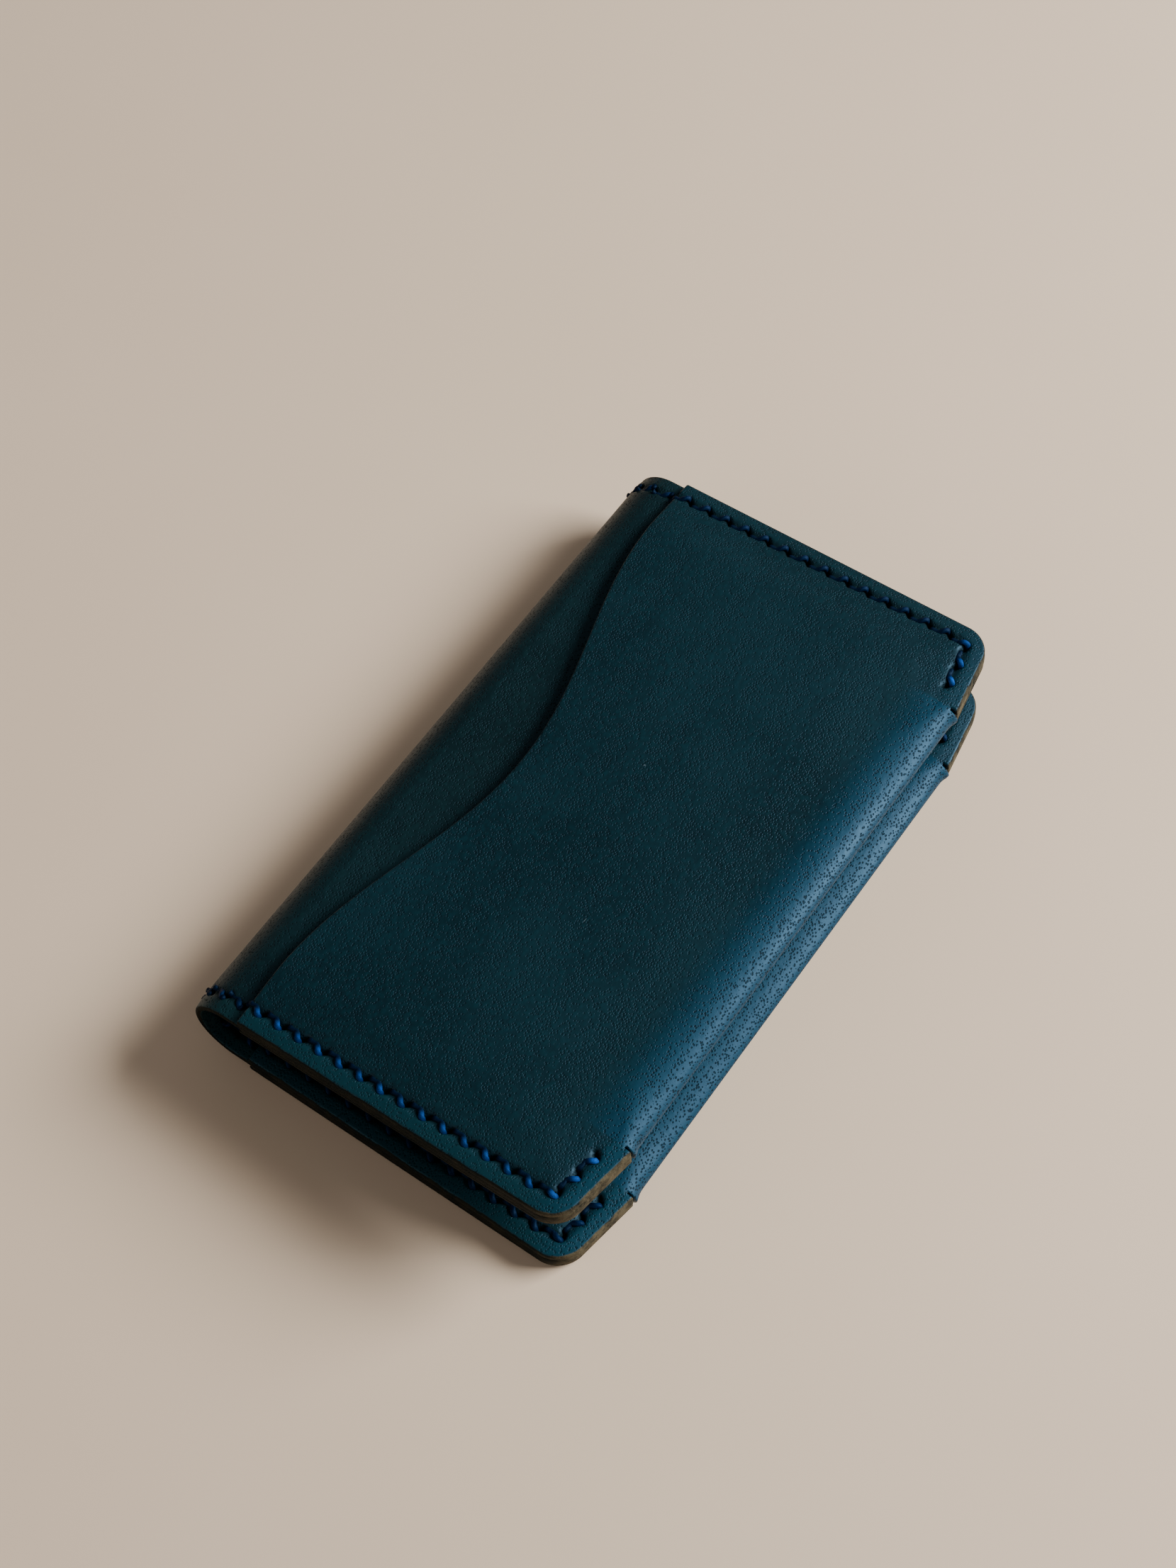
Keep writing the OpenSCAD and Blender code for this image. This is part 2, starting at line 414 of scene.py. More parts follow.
def sheet_solid(name, outer, inner, valid, looks, place, joins=()):
    """A closed sheet of leather from its two faces on one grid, with rounded cut edges.

    looks holds named maps from 0 to 1: raw where the cut edge's own colour shows, worked where the
    leather is pressed or pierced and painted shade darkens it, border outside the seam, lightened as
    a painted reflection, and rubbed_and_highlight where the leather is bent and worn in use and a
    painted highlight lightens the fold. joins names the columns where the sheet runs on into the
    next one.
    """
    rows, cols = outer.shape[:2]
    used = np.zeros((rows, cols), bool)
    for di in (0, 1):
        for dj in (0, 1):
            used[di : rows - 1 + di, dj : cols - 1 + dj] |= valid
    index = np.full((rows, cols), -1)
    index[used] = np.arange(used.sum())
    count = int(used.sum())
    vertices = [outer[used], inner[used]]
    attributes = {key: [part[used], part[used]] for key, part in looks.items()}

    ci, cj = np.nonzero(valid)
    top = np.stack([index[ci, cj], index[ci, cj + 1], index[ci + 1, cj + 1], index[ci + 1, cj]], 1)
    faces = top.tolist() + (top[:, ::-1] + count).tolist()

    edges = boundary_edges(valid)
    rings, extra = {}, []
    for p, away in outward(edges, outer).items():
        ids = [index[p]]
        for t in CUT_RINGS:
            ids.append(2 * count + len(extra))
            middle = outer[p] * (1 - t) + inner[p] * t
            extra.append(middle + away * CUT_BULGE * math.sin(math.pi * t))
        ids.append(index[p] + count)
        rings[p] = ids
    for a, b, _ in edges:
        for k in range(len(CUT_RINGS) + 1):
            faces.append([rings[a][k], rings[a][k + 1], rings[b][k + 1], rings[b][k]])
    vertices.append(np.array(extra))
    bare = [1.0 if looks["raw"][p] > 0.5 else MOUTH_CUT for p in rings]
    attributes["raw"].append(np.repeat(bare, len(CUT_RINGS)))
    attributes["rubbed_and_highlight"].append(np.repeat([looks["rubbed_and_highlight"][p] for p in rings], len(CUT_RINGS)))
    for key in ("worked", "border"):
        attributes[key].append(np.zeros(len(extra)))
    joined = {key: np.concatenate(parts) for key, parts in attributes.items()}
    met = [(index[a], index[b]) for a, b, _ in edges if a[1] == b[1] and a[1] in joins]
    creases = met + [(a + count, b + count) for a, b in met]
    return make_object(name, np.concatenate(vertices), faces, joined, place, creases)


def near_edge_rows():
    """Distances in from a short edge, dense where the edge is rounded and round the seam."""
    rounded = [0, 0.04, 0.1, 0.18, 0.28, EDGE_ROUND]
    border = list(np.arange(0.65, MARGIN - 1.3, BORDER_GRID))
    seam = list(np.arange(MARGIN - 1.2, MARGIN + 1.3, SEAM_GRID))
    ear = list(np.arange(MARGIN + 1.4, NOTCH_INSET - 0.2, FINE * 1.05))
    return rounded + border + seam + ear + [NOTCH_INSET]


def cover_rows():
    """Y of every row of a cover's grid, and which rows start and end the turned fold."""
    end = np.array(near_edge_rows()) - HALF_LENGTH
    start = NOTCH_INSET + NOTCH_GAP
    ramp = [0, 0.2, 0.5, 0.9, 1.5, 2.3, 3.4, 5.0]
    half = [start + r - HALF_LENGTH for r in ramp]
    middle = list(np.linspace(half[-1], -half[-1], int(-2 * half[-1] / COARSE)))[1:-1]
    fold = np.array(half + middle + [-y for y in reversed(half)])
    return np.concatenate([end, fold, -end[::-1]]), len(end), len(end) + len(fold) - 1


def spread(start, end, fractions):
    """Rows of X from start to end, one row for each pair, at the same fractions."""
    return start[:, None] + (end - start)[:, None] * fractions[None, :]


def cover_columns():
    """Fractions of the mouth-to-ear stretch, the ear's root and the ear's tip or fold."""
    first = np.array([0, 0.05, 0.12, 0.22, 0.34, 0.5])
    length = EAR_ROOT_X - MOUTH_END_X
    body = np.concatenate([first, np.linspace(0.75, length, int(length / FINE))]) / length
    root = np.linspace(0, 1, ROOT_COLUMNS + 1)[1:]
    tip = 1 - np.linspace(1, 0, TIP_COLUMNS + 1)[1:] ** 2
    return body, root, tip


def lobe_x(y, fold_rows):
    """X of one lobe's grid: its body, the ear's root, then the tip of the ear."""
    body, root, tip = cover_columns()
    inset = HALF_LENGTH - np.abs(y)
    away = smooth((inset - NOTCH_INSET) / FOLD_RAMP)
    reach = FOLD_REACH_AT_NOTCH + (FOLD_REACH - FOLD_REACH_AT_NOTCH) * away
    joint = np.full_like(y, EAR_ROOT_X)
    edge = np.where(fold_rows, HALF_WIDTH, ear_edge_x(inset))
    notch_root = HALF_WIDTH - FOLD_REACH_AT_NOTCH
    scale = (edge - joint) / (HALF_WIDTH - joint)
    ends = np.where(fold_rows, HALF_WIDTH - reach, joint + (notch_root - joint) * scale)
    parts = [spread(mouth_x(y), joint, body), spread(joint, ends, root), spread(ends, edge, tip)]
    return np.concatenate(parts, 1), ends


def lobe_height(x, y, height, fold_rows):
    """Depth of a lobe's outer face below the flat cover, negative where it stands proud."""
    edge, s = edge_and_seam(x, y)
    on_fold = np.broadcast_to(fold_rows[:, None], x.shape)
    ear = np.where(on_fold, 0, rounding(edge, EDGE_ROUND))
    worked = seam_relief(edge, s)
    mouth = rounding(x - mouth_x(y), MOUTH_ROUND)
    rise = pillow(x, y, height)
    wave = slow_wave(x, y, WAVE) * smooth((edge - MARGIN) / WAVE_RAMP) * (height > 0)
    return ear + worked + mouth - rise - wave


def turn_fold(face, back, side, y, fold_rows, ends):
    """Bends the tip columns of a lobe's fold rows round a quarter of an oval, up to the middle of
    the stack, and thins the leather just before them. side is 1 for the outer lobe, else -1."""
    rows = np.nonzero(fold_rows)[0]
    tip_start = face.shape[1] - TIP_COLUMNS
    tips = slice(tip_start, face.shape[1])
    turn = (np.arange(1, TIP_COLUMNS + 1) / TIP_COLUMNS)[None, :] * math.pi / 2
    drop = 1 - np.cos(turn) ** FOLD_FULLNESS
    reach = (HALF_WIDTH - ends)[fold_rows][:, None]
    past_notch = (HALF_LENGTH - np.abs(y) - NOTCH_INSET - NOTCH_GAP)[fold_rows][:, None]
    nub = NUB * np.exp(-((past_notch / NUB_REACH) ** 2))

    start = face[rows, tip_start - 1][:, None, :]
    half = (STACK / 2 - start[..., 2]) * side
    thick = np.minimum(LEATHER, half * FOLD_THINNING)
    inner_reach = np.maximum(reach - thick, LEAST_INNER_TURN)
    face[rows, tips, 0] = start[..., 0] + (reach + nub) * np.sin(turn)
    face[rows, tips, 2] = start[..., 2] + side * half * drop
    back[rows, tips, 0] = start[..., 0] + inner_reach * np.sin(turn)
    back[rows, tips, 2] = start[..., 2] + side * (thick + (half - thick) * drop)

    skived = np.arange(tip_start - SKIVED_COLUMNS, tip_start)
    ease = smooth(np.arange(1, SKIVED_COLUMNS + 1) / SKIVED_COLUMNS)[None, :]
    surface = face[np.ix_(rows, skived)][..., 2]
    full = surface + side * LEATHER
    thin = surface + side * thick
    back[np.ix_(rows, skived, [2])] = (full * (1 - ease) + thin * ease)[..., None]


def pocket_looks(x, y, fold_rows):
    """The maps of one lobe that its material reads, each from 0 to 1."""
    edge, s = edge_and_seam(x, y)
    on_fold = fold_rows[:, None]
    cut = np.where(on_fold, 0, 1 - smooth(edge / CUT_REACH))
    mouth = MOUTH_CUT * (1 - smooth((x - mouth_x(y)) / MOUTH_ROUND))
    # The border outside the seam is lightened as a painted reflection, strongly at the near seam and
    # weakly at the far one.
    border = (1 - smooth((edge - MARGIN + BORDER_OVERLAP) / BORDER_FADE)) * ~on_fold
    border = border * np.where(y > 0, FAR_BORDER_REFLECTION, 1)
    # Painted highlight with the pull-up of bent leather: full on the fold, weaker on the ears and
    # their border, fading in towards the opening edge.
    handled_and_lit = np.where(on_fold, 1, RUBBED_AND_HIGHLIGHT_EAR + RUBBED_AND_HIGHLIGHT_BORDER * border)
    rubbed_and_highlight = handled_and_lit * smooth((x - HALF_WIDTH + RUBBED_AND_HIGHLIGHT_REACH) / RUBBED_AND_HIGHLIGHT_REACH)
    # Darker in the groove and holes: pressed leather and painted shade.
    worked = darkened(*seam_marks(edge, s))
    return {"raw": np.maximum(cut, mouth), "worked": worked, "border": border, "rubbed_and_highlight": rubbed_and_highlight}


def pocket(name, outer_pillow, inner_pillow, place):
    """One pocket piece: outer lobe, fold turned over the opening edge, inner lobe."""
    y, first, last = cover_rows()
    fold_rows = (np.arange(len(y)) >= first) & (np.arange(len(y)) <= last)
    x, ends = lobe_x(y, fold_rows)
    cols = x.shape[1]
    yy = np.repeat(y[:, None], cols, 1)
    down = lobe_height(x, yy, outer_pillow, fold_rows)
    up = lobe_height(x, yy, inner_pillow, fold_rows)
    outer_face = np.stack([x, yy, down], -1)
    inner_face = np.stack([x, yy, STACK - up], -1)
    outer_back = np.stack([x, yy, LEATHER - pillow(x, yy, outer_pillow)], -1)
    inner_back = np.stack([x, yy, STACK - LEATHER + pillow(x, yy, inner_pillow)], -1)
    turn_fold(outer_face, outer_back, 1, y, fold_rows, ends)
    turn_fold(inner_face, inner_back, -1, y, fold_rows, ends)
    outer = np.concatenate([outer_face, inner_face[:, ::-1]], 1)
    inner = np.concatenate([outer_back, inner_back[:, ::-1]], 1)

    # On the fold rows both faces end in the same column, which make_object welds together. The
    # ears stay open there, and a slit parts them from the fold.
    valid = np.ones((len(y) - 1, 2 * cols - 1), bool)
    valid[~(fold_rows[:-1] & fold_rows[1:]), cols - 1] = False
    cut = TIP_COLUMNS - NOTCH_ROOT
    valid[[first - 1, last], cols - cut - 1 : cols + cut] = False
    looks = {
        key: np.concatenate([part, part[:, ::-1]], 1)
        for key, part in pocket_looks(x, yy, fold_rows).items()
    }
    return sheet_solid(name, outer, inner, valid, looks, place)


def shell_marks(u, y, outside):
    """How bare a place of the shell is, and how far it lies in the groove and in a hole."""
    d = HALF_LENGTH - np.abs(y) - MARGIN
    bare = 1 - smooth((u - (MOUTH_END_X - SPINE_X)) / BARE_FADE)
    on_spine = -(np.round(-u / SPINE_PITCH - 0.5) + 0.5) * SPINE_PITCH
    holes = np.where(u > 0, SEAM_START_U, on_spine)
    return bare, bare * groove(d), bare * slit(u - holes, d * outside)


def shell_relief(u, y, outside):
    """Depth of the rounded short edge, the groove and the holes on the shell's bare stretch."""
    inset = HALF_LENGTH - np.abs(y)
    bare, in_groove, in_slit = shell_marks(u, y, outside)
    edge = rounding(inset, HIDDEN_ROUND) * (1 - bare) + rounding(inset, EDGE_ROUND) * bare
    border = SHELL_BORDER * BORDER_DROP * (1 - smooth(inset / MARGIN)) * bare
    return edge + border + GROOVE_DEPTH * in_groove + SHELL_SLIT * SLIT_DEPTH * in_slit


def flat_columns(y, fold_rows):
    """U of the columns from the start of the flat cover to its edge, under the ears and folds."""
    hidden_x = HALF_WIDTH - FOLD_REACH_AT_NOTCH - SHORT_OF_FOLD
    edge = np.where(fold_rows, hidden_x, ear_edge_x(HALF_LENGTH - np.abs(y))) - SPINE_X
    fine_end = MOUTH_END_X + MOUTH_DEPTH + FINE_PAST_MOUTH - SPINE_X
    bare = np.arange(FINE, fine_end, FINE)
    root = EAR_ROOT_X - SPINE_X
    under = np.linspace(bare[-1], root, HIDDEN_COLUMNS)[1:]
    flat = np.repeat(np.concatenate([bare, under])[None, :], len(y), 0)
    return np.concatenate([flat, spread(np.full_like(y, root), edge, 1 - SHELL_TIP)], 1)


def shell_looks(u, y, fold_rows):
    """The maps of a stretch of the shell that its material reads, each from 0 to 1."""
    inset = HALF_LENGTH - np.abs(y)
    edge, _ = edge_and_seam(SPINE_X + u, y)
    cut = np.where(fold_rows[:, None], 0, 1 - smooth(edge / SHELL_CUT_REACH))
    raw = np.where(u < 0, 1 - smooth(inset / SHELL_CUT_REACH), cut)
    # The border outside the seam is lightened as a painted reflection, strongly at the near seam and
    # weakly at the far one.
    border = 1 - smooth((inset - MARGIN + BORDER_OVERLAP) / BORDER_FADE)
    border = border * np.where(y > 0, FAR_BORDER_REFLECTION, 1)
    # Painted highlight with the pull-up of bent leather, fading in towards the opening edge.
    rubbed_and_highlight = RUBBED_AND_HIGHLIGHT_SHELL * smooth((SPINE_X + u - EAR_X) / (HALF_WIDTH - EAR_X))
    # Darker in the groove and holes: pressed leather and painted shade.
    _, in_groove, in_slit = shell_marks(u, y, 1)
    worked = darkened(in_groove, in_slit)
    return {"raw": raw, "worked": worked, "border": border, "rubbed_and_highlight": rubbed_and_highlight}


def shell_piece(name, u_from, u_to, place):
    """A stretch of the shell. A stretch that ends at the cover goes on to its opening edge."""
    y, first, last = cover_rows()
    fold_rows = (np.arange(len(y)) >= first) & (np.arange(len(y)) <= last)
    arc = np.linspace(u_from, u_to, max(3, int((u_to - u_from) / SPINE_GRID)))
    u = np.repeat(arc[None, :], len(y), 0)
    joins = (0, len(arc) - 1)
    if u_to == 0:
        u = np.concatenate([u, flat_columns(y, fold_rows)], 1)
        joins = (0,)
    yy = np.repeat(y[:, None], u.shape[1], 1)
    outside = shell_point(u, yy, -shell_relief(u, yy, 1))
    inside = shell_point(u, yy, -LEATHER + shell_relief(u, yy, -1))
    valid = np.ones((len(y) - 1, u.shape[1] - 1), bool)
    looks = shell_looks(u, yy, fold_rows)
    return sheet_solid(name, outside, inside, valid, looks, place, joins)


# ---------------------------------------------------------------- thread
ROPE_SIDES = 15
STRANDS = 3
TWIST = 5.2
# The thread is pressed wider than it is high, and dips between its strands.
ROPE_WIDTH = 1.12
ROPE_HEIGHT = 0.9
STRAND_DIP = 0.84
STRAND_SWELL = 0.22
STRAND_POWER = 0.8

STITCH_POINTS = 31
STITCH_SLANT = 0.5
STITCH_DEPTH = 0.26
DIVE_DEPTH = 1.1
CREST_HEIGHT = 0.3
# How far a stitch's ends stay clear of its holes: the first one, and both together.
FIRST_GAP = 0.2
BOTH_GAPS = 0.34
# Shares of a stitch's length: over which it leaves its hole, crosses over and enters the next
# hole, and where its crest lies.
LEAVING = 0.22
CROSSING = 0.42
CREST_AT = 0.76
CREST_SPREAD = 0.17
ENTERING = 0.14
# A stitch starts to sink from the lobe to the shell so far before the mouth.
STEP_LEAD = 0.9

# The painted highlight on a stitch's high bend, and how unevenly it is painted from one stitch to
# the next.
BRIGHT_AT = 0.8
BRIGHT_SPREAD = 0.095
UNEVEN = 0.2
UNEVEN_STEP = 2.4


def rope_parts(path, normal, offset):
    """Vertices and faces of one length of three-strand thread along a path."""
    run = np.gradient(path, axis=0)
    run /= np.linalg.norm(run, axis=1)[:, None]
    side = np.cross(normal, run)
    side /= np.linalg.norm(side, axis=1)[:, None]
    up = np.cross(run, side)
    travelled = np.concatenate([[0], np.cumsum(np.linalg.norm(np.diff(path, axis=0), axis=1))])
    turn = np.linspace(0, 2 * math.pi, ROPE_SIDES, endpoint=False)[None, :]
    phase = STRANDS * (turn - TWIST * travelled[:, None] / STRANDS)
    strand = np.abs(np.cos(phase / 2)) ** STRAND_POWER
    swell = THREAD_RADIUS * (STRAND_DIP + STRAND_SWELL * strand)
    ring = (
        path[:, None, :]
        + side[:, None, :] * (swell * np.cos(turn) * ROPE_WIDTH)[..., None]
        + up[:, None, :] * (swell * np.sin(turn) * ROPE_HEIGHT)[..., None]
    )
    count = len(path)
    faces = []
    for i in range(count - 1):
        a, b = offset + i * ROPE_SIDES, offset + (i + 1) * ROPE_SIDES
        for j in range(ROPE_SIDES):
            k = (j + 1) % ROPE_SIDES
            faces.append([a + j, a + k, b + k, b + j])
    end = offset + (count - 1) * ROPE_SIDES
    faces.append([offset + j for j in range(ROPE_SIDES)][::-1])
    faces.append([end + j for j in range(ROPE_SIDES)])
    return ring.reshape(-1, 3), faces


def stitch_profile(length):
    """Places along one stitch, its slant across the seam and how deep it lies.

    It leaves its hole, lies in the groove and crosses outwards on a high bend before it dives.
    """
    t = np.linspace(0, 1, STITCH_POINTS)
    slant = STITCH_SLANT * (1 - 2 * smooth((t - 0.5) / CROSSING))
    dive = DIVE_DEPTH * ((1 - smooth(t / LEAVING)) + (1 - smooth((1 - t) / ENTERING)))
    crest = CREST_HEIGHT * np.exp(-(((t - CREST_AT) / CREST_SPREAD) ** 2))
    return FIRST_GAP + t * (length - BOTH_GAPS), slant, STITCH_DEPTH + dive - crest


def cover_stitch(k, sink, lift):
    """Path and normals of stitch k of the near seam on a lobe's outer face."""
    run, slant, dive = stitch_profile(PITCH)
    s = k * PITCH + run
    x, y = seam_xy(s, slant)
    base = LEATHER * (1 - smooth(x - MOUTH_END_X + STEP_LEAD))
    z = base + sink + dive - pillow(x, y, lift)
    normal = np.tile([0.0, 0.0, -1.0], (len(s), 1))
    return np.stack([x, y, z], -1), normal


def shell_stitch(u_from, u_to, sink, inside):
    """Path and normals of one stitch on the shell, on its outside or its inside."""
    run, slant, dive = stitch_profile(abs(u_to - u_from))
    u = u_from + math.copysign(1, u_to - u_from) * run
    y = MARGIN - HALF_LENGTH + slant
    depth = sink + dive
    proud = depth - LEATHER if inside else -depth
    sign = -1 if inside else 1
    path = shell_point(u, y, proud)
    return path, sign * (shell_point(u, y, proud + 1) - path)


def flip(points, far, inner):
    """Moves a path of the near outer seam to the far end or to the inner face."""
    moved = np.array(points, float)
    if far:
        moved[..., 1] *= -1
    if inner:
        moved[..., 2] = STACK - moved[..., 2]
    return moved


def thread_object(name, paths, place):
    """One object for all stitches in paths, each given as its path, its normals and how strongly its
    high bend is painted with a highlight."""
    vertices, faces, shade, offset = [], [], [], 0
    for number, (path, normal, bright) in enumerate(paths):
        points, quads = rope_parts(path, normal, offset)
        vertices.append(points)
        faces += quads
        offset += len(points)
        # The painted highlight peaks on each stitch's high bend.
        along = np.linspace(0, 1, len(path))
        uneven = 1 - UNEVEN + UNEVEN * math.sin(number * UNEVEN_STEP)
        crest = np.exp(-(((along - BRIGHT_AT) / BRIGHT_SPREAD) ** 2)) * uneven
        shade += np.repeat(bright * crest, ROPE_SIDES).tolist()
    return make_object(name, np.concatenate(vertices), faces, {"shade": shade}, place)


def cover_thread(name, far, outer_sink, lift, inner_lift, place):
    """The thread of one seam on one cover: outer face, inner face and the spine's first stitch."""
    # The near seam gets more painted highlight than the far seam, and the last stitches by the ear
    # get the most.
    along_seam = FAR_THREAD if far else NEAR_THREAD
    paths = []
    for inner in (False, True):
        sink = THREAD_SINK if inner else outer_sink
        height = inner_lift if inner else lift
        # Stitches on the inner face are dimmed as painted shade.
        handled_and_lit = HIDDEN_THREAD if inner else 1.0
        for k in range(STITCHES):
            path, normal = cover_stitch(k, sink, height)
            normal = normal * [1, 1, -1] if inner else normal
            at_ear = smooth((k - STITCHES + EAR_STITCHES) / EAR_FADE)
            bright = along_seam + (1 - along_seam) * at_ear
            paths.append((flip(path, far, inner), normal, handled_and_lit * bright))
        # The spine's first stitch is dimmed as painted shade.
        path, normal = shell_stitch(-SPINE_PITCH / 2, SPINE_PITCH / 2, THREAD_SINK, inner)
        paths.append((flip(path, far, False), flip(normal, far, False), HIDDEN_THREAD))
    return thread_object(name, paths, place)


def spine_thread(name, k):
    """The stitches over spine strip k, at both short edges and on both faces."""
    paths = []
    start = -(k - 0.5) * SPINE_PITCH
    for far in (False, True):
        for inside in (False, True):
            # The spine's stitches are dimmed as painted shade.
            path, normal = shell_stitch(start, start - SPINE_PITCH, THREAD_SINK, inside)
            paths.append((flip(path, far, False), flip(normal, far, False), HIDDEN_THREAD))
    return thread_object(name, paths, on_back)


# ---------------------------------------------------------------- materials
# Patterns, by how often they repeat in a metre.
PORES_PER_M = 2900.0
SKIN_PER_M = PORES_PER_M * 0.55
PORE_SIZES_PER_M = 700.0
WARP_PER_M = 900.0
FIBRE_PER_M = 900.0
FINE_PER_M = 3800.0
CLOUDS_PER_M = 42.0
WORN_PER_M = 420.0
SPECKS_PER_M = 150.0
HAIRS_PER_M = 260.0
THREAD_FIBRE_PER_M = 5200.0
FLOOR_TONES_PER_M = 18.0

# Pores are short, lie roughly one way and stand a little irregularly.
PORE_ANGLE = 0.5
PORE_STRETCH = 0.7
PORE_SHIFT = 0.00014
PORE_RANDOMNESS = 0.72
PORE_SIZES = (0.30, 0.38)
HAIR_ANGLE = 0.9
HAIR_STRETCH = 0.16

# Linear colours. Dyed leather turns a lighter blue where it is bent and handled, and the same blue
# paints the highlight along the fold.
POCKET_DYE = (0.0016, 0.0158, 0.0198, 1)
POCKET_DEEP = (0.0009, 0.0098, 0.0124, 1)
SHELL_DYE = (0.0018, 0.0125, 0.0128, 1)
SHELL_DEEP = (0.0009, 0.0072, 0.0072, 1)
PULLED_AND_HIGHLIGHT_BLUE = (0.006, 0.040, 0.074, 1)
DUST = (0.20, 0.27, 0.30, 1)
CUT_BLACK = (0.004, 0.0042, 0.002, 1)
CUT_BROWN = (0.018, 0.0145, 0.0065, 1)
CUT_TAN = (0.11, 0.085, 0.045, 1)
LEATHER_SHINE = (0.42, 0.74, 1.0, 1)
# The thread's painted shade and its painted highlight.
THREAD_SHADE = (0.0008, 0.006, 0.020, 1)
THREAD_HIGHLIGHT = (0.004, 0.105, 0.46, 1)
THREAD_SHINE = (0.3, 0.62, 1.0, 1)
FLOOR_DARK = (0.90, 0.65, 0.44, 1)
FLOOR_LIGHT = (0.94, 0.69, 0.48, 1)

# The dye is lighter or darker by these factors on fibres, skin and borders, in pits and holes. The
# lighter border is a painted reflection, and the darker holes are partly painted shade.
FIBRE_LIGHT = 1.6
SKIN_LIGHT = 1.9
BORDER_REFLECTION_LIGHT = 1.9
PIT_DARK = 0.3
HOLE_DARK = 0.15
# How far each look covers the dye, from 0 to 1.
BORDER_REFLECTION_COVER = 0.8
PULLED_AND_HIGHLIGHT_COVER = 0.85
WORKED_AND_SHADE_COVER = 0.9
DUST_COVER = 0.4

POCKET_ROUGHNESS = 0.46
SHELL_ROUGHNESS = 0.5
FLOOR_ROUGHNESS = 0.62
DULL_ROUGHNESS = 0.25
PIT_DULLNESS = 0.65
PULLED_DULLNESS = 0.4
THREAD_SPECULAR = 0.16
# Strength and distance, in metres.
LEATHER_BUMP = (0.55, 0.00007)
THREAD_BUMP = (0.6, 0.00006)
# Heights in the leather's relief, in which a pit is at -1.
SKIN_HEIGHT = -0.7
FINE_HEIGHT = 0.3
FIBRE_HEIGHT = 2.0


class Nodes:
    """A short way to add and link shader nodes."""

    def __init__(self, name):
        self.material = bpy.data.materials.new(name)
        self.material.use_nodes = True
        self.tree = self.material.node_tree
        self.shader = self.tree.nodes["Principled BSDF"]

    def add(self, kind, settings=None, **inputs):
        node = self.tree.nodes.new(kind)
        for key, value in (settings or {}).items():
            setattr(node, key, value)
        for key, value in inputs.items():
            self.put(node, key.replace("_", " "), value)
        return node

    def put(self, node, key, value):
        """Sets or links an input, given by its name, or by its number after an i."""
        socket = node.inputs[int(key[1:]) if key[0] == "i" and key[1:].isdigit() else key]
        if isinstance(value, bpy.types.NodeSocket):
            self.tree.links.new(value, socket)
        else:
            socket.default_value = value

    def place(self):
        return self.add("ShaderNodeTexCoord").outputs["Object"]

    def painted(self, key):
        """A map that the mesh carries."""
        return self.add("ShaderNodeAttribute", {"attribute_name": key}).outputs["Fac"]

    def math(self, operation, a, b):
        return self.add("ShaderNodeMath", {"operation": operation}, i0=a, i1=b).outputs[0]

    def ramp(self, value, low, high, out_low=0.0, out_high=1.0):
        node = self.add("ShaderNodeMapRange", {"interpolation_type": "SMOOTHSTEP"})
        for key, item in zip(
            ("Value", "From Min", "From Max", "To Min", "To Max"),
            (value, low, high, out_low, out_high),
        ):
            self.put(node, key, item)
        return node.outputs["Result"]

    def vector(self, operation, a, b):
        node = self.add("ShaderNodeVectorMath", {"operation": operation}, i0=a)
        self.put(node, "Scale" if operation == "SCALE" else "i1", b)
        return node.outputs[0]

    def channel(self, colour, number):
        return self.add("ShaderNodeSeparateColor", Color=colour).outputs[number]

    def mix(self, factor, a, b):
        node = self.add("ShaderNodeMix", {"data_type": "RGBA"})
        self.put(node, "i0", factor)
        self.put(node, "i6", a)
        self.put(node, "i7", b)
        return node.outputs[2]

    def stretched(self, place, angle, share):
        """The place with Y scaled, so that patterns come out longer along it, then turned."""
        node = self.add("ShaderNodeMapping", Vector=place)
        node.inputs["Rotation"].default_value = (0, 0, angle)
        node.inputs["Scale"].default_value = (1.0, share, 1.0)
        return node.outputs[0]

    def noise(self, place, scale, detail, roughness=0.55):
        node = self.add(
            "ShaderNodeTexNoise", Vector=place, Scale=scale, Detail=detail, Roughness=roughness
        )
        return node.outputs["Fac"]

    def cells(self, place, scale, feature="F1", randomness=1.0):
        return self.add(
            "ShaderNodeTexVoronoi", {"feature": feature},
            Vector=place, Scale=scale, Randomness=randomness
        )

    def bump(self, height, strength, distance):
        node = self.add("ShaderNodeBump", Strength=strength, Distance=distance, Height=height)
        self.put(self.shader, "Normal", node.outputs[0])


def scaled(colour, factor):
    return (*[part * factor for part in colour[:3]], 1)


def pores(n, place):
    """How far a place lies in an open pit, and how far it is from the middle of a skin cell."""
    warp = n.add("ShaderNodeTexNoise", Vector=place, Scale=WARP_PER_M, Detail=2.0)
    centred = n.vector("SUBTRACT", warp.outputs["Color"], (0.5, 0.5, 0.5))
    shift = n.vector("SCALE", centred, PORE_SHIFT)
    bent = n.vector("ADD", n.stretched(place, PORE_ANGLE, PORE_STRETCH), shift)
    distance = n.cells(bent, PORES_PER_M, randomness=PORE_RANDOMNESS).outputs["Distance"]
    size = n.ramp(n.noise(place, PORE_SIZES_PER_M, 2.0), 0.3, 0.7, *PORE_SIZES)
    pit = n.ramp(n.math("SUBTRACT", distance, size), -0.1, 0.1, 1.0, 0.0)
    return pit, n.cells(bent, SKIN_PER_M, "SMOOTH_F1").outputs["Distance"]


